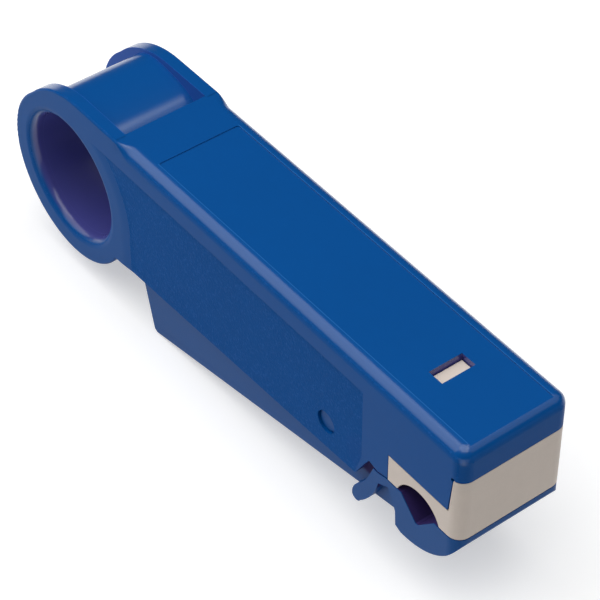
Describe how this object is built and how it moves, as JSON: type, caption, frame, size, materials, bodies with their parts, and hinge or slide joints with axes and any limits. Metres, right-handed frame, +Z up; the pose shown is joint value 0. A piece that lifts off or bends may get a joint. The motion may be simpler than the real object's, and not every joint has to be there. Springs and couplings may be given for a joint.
{
  "type": "coaxial cable stripper",
  "caption": "Hand stripper for coaxial cable: blue finger-ring body, sprung squeeze lever with a V jaw, and a tan blade cartridge under the front hood.",
  "frame": {"origin": "middle of the length and width, at the lowest point of the lever pad", "axes": "+X to the cartridge end, +Z up to the flat top, +Y across, along the cable"},
  "size_m": [0.138, 0.0242, 0.0449],
  "materials": {
    "blue_plastic": "satin, fine grain on the side panels",
    "tan_plastic": "satin",
    "blade_steel": "ground",
    "spring_steel": "drawn wire, bright",
    "dark_plastic": "plain"
  },
  "bodies": {
    "frame": {"body": "blue_plastic", "pivot_pin": "blue_plastic", "cartridge_shell": "tan_plastic", "cartridge_lid": "tan_plastic", "blade_inner": "blade_steel", "blade_outer": "blade_steel", "blade_spacer": "dark_plastic", "blade_packer_near": "dark_plastic", "blade_packer_far": "dark_plastic", "blade_dowels": "blade_steel", "lid_screws": "spring_steel"},
    "squeeze_lever": {"lever": "blue_plastic", "lever_spring": "spring_steel"}
  },
  "joints": [
    {"name": "lever_squeeze", "type": "hinge", "parent": "frame", "child": "squeeze_lever", "pos_m": [0.0324, 0, 0.0225], "axis": [0, 1, 0], "range_deg": [0, 10], "stiffness_Nm_per_rad": 0.3, "springref_deg": -22.92, "deforming": ["lever_spring"]}
  ]
}
